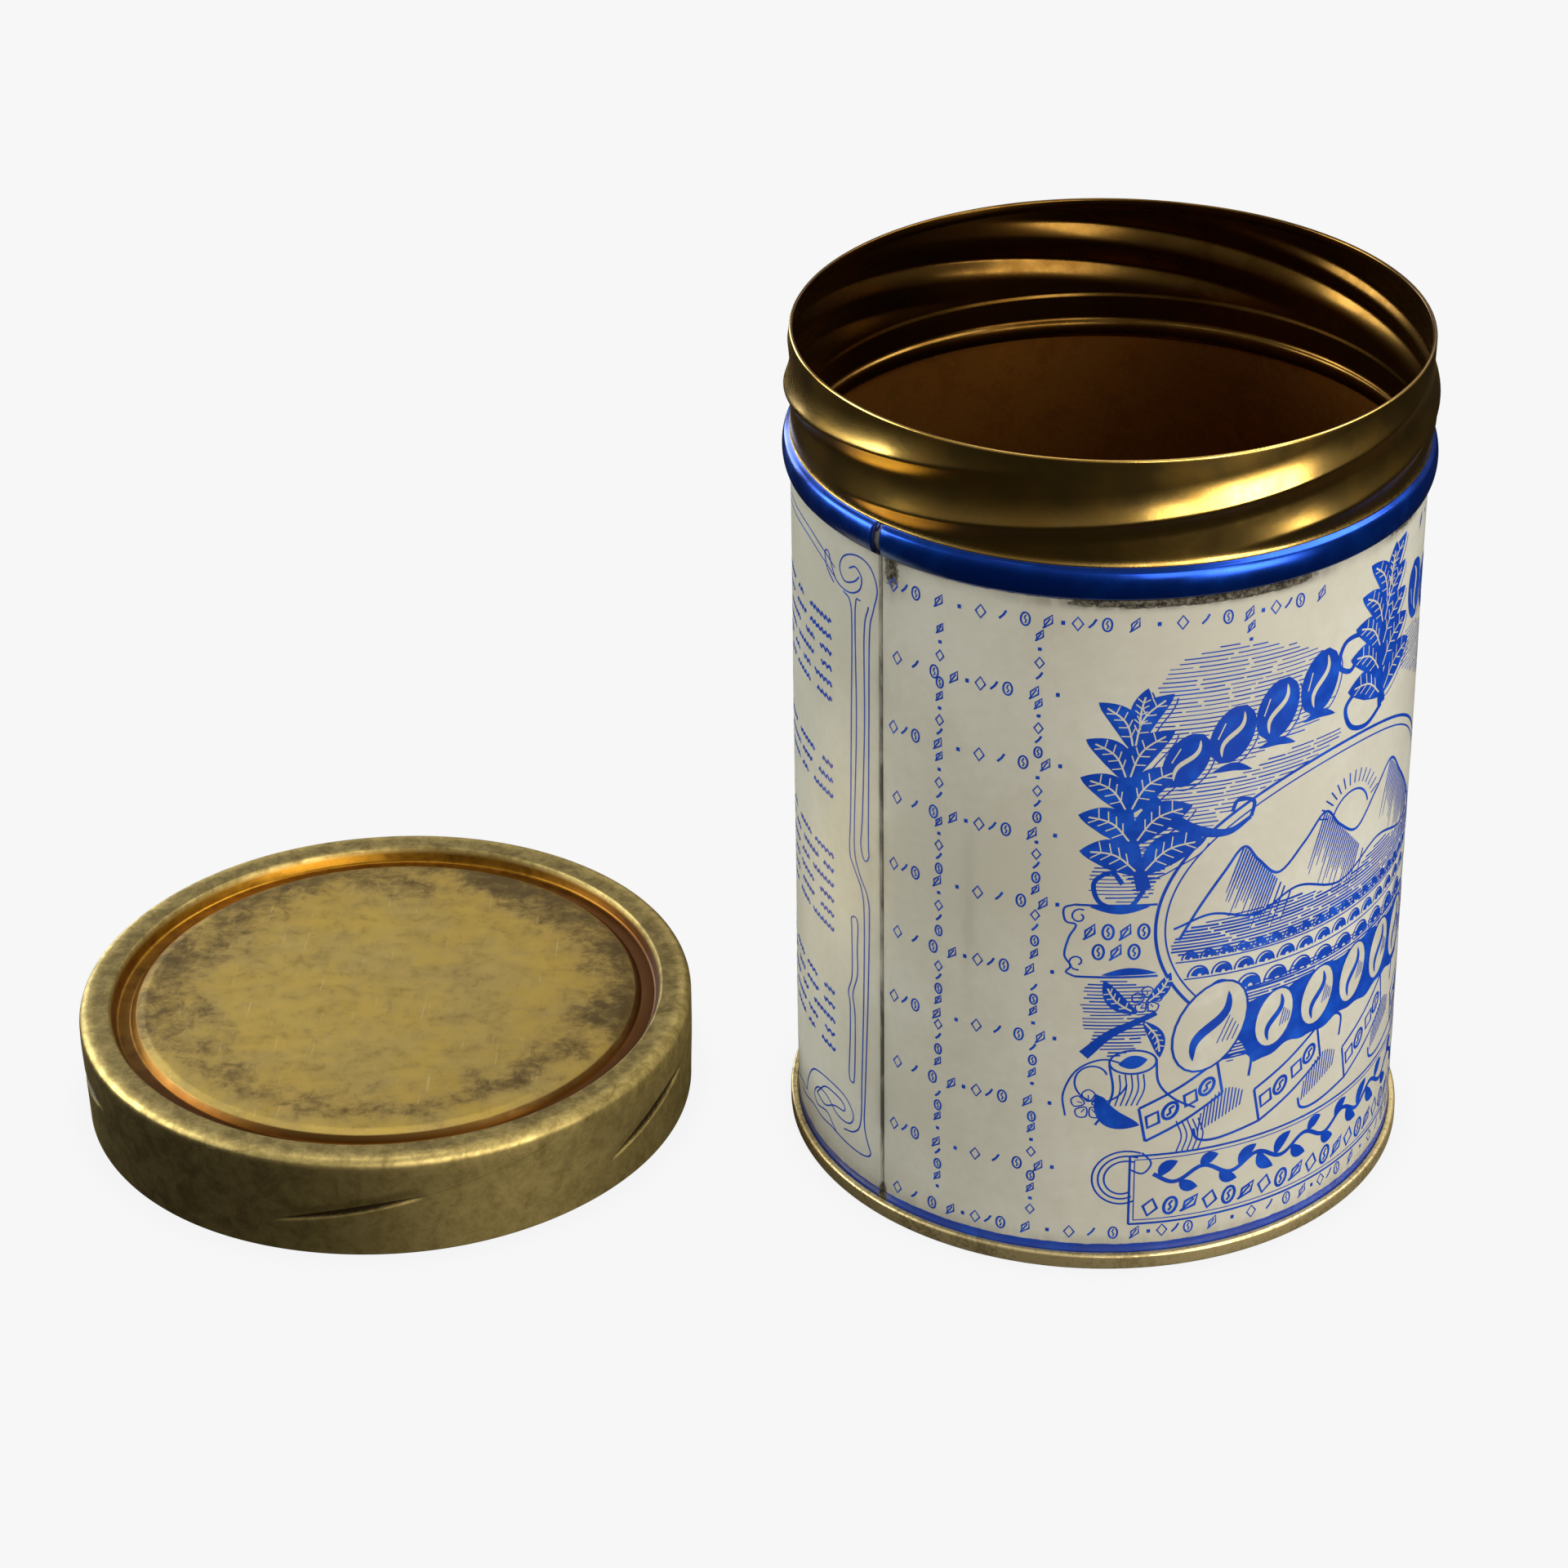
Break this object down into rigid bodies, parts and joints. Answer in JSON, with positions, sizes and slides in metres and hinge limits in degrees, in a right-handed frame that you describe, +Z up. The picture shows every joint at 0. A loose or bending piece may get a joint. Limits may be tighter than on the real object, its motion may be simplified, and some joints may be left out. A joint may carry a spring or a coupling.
{
  "type": "screw lid coffee tin",
  "caption": "Round printed tinplate coffee tin with a threaded gold collar, standing open, its pressed screw lid lying beside it.",
  "frame": {"origin": "centre of the tin's foot, on the surface that the tin and its lid stand on", "axes": "+Z up along the tin's axis, towards its mouth; -X from the tin's axis to the axis of the lid beside it"},
  "size_m": [0.2349, 0.1094, 0.1504],
  "materials": {
    "printed_tinplate": "cream lithographed print with royal blue line work, worn and stained",
    "gold_lacquer": "gold lacquered tinplate, glossy",
    "aged_gold": "gold lacquered tinplate, dull and mottled with age",
    "seam_compound": "matte sealing compound",
    "solder": "dull grey solder",
    "liner_board": "waxed pulp board"
  },
  "bodies": {
    "tin": {"can_body": "printed_tinplate", "side_seam_solder": "solder", "neck_collar": "gold_lacquer", "neck_seal": "seam_compound", "bottom_end": "gold_lacquer", "bottom_seal": "seam_compound"},
    "lid_liner": {"lid_gasket": "liner_board"},
    "lid": {"lid_shell": "aged_gold"}
  },
  "joints": [
    {"name": "lid_lift", "type": "slide", "parent": "tin", "child": "lid_liner", "axis": [0, 0, 1], "range_m": [0, 0.2]},
    {"name": "lid_turn", "type": "hinge", "parent": "lid_liner", "child": "lid", "pos_m": [-0.1263, 0, 0], "axis": [0, 0, 1], "continuous": true}
  ]
}
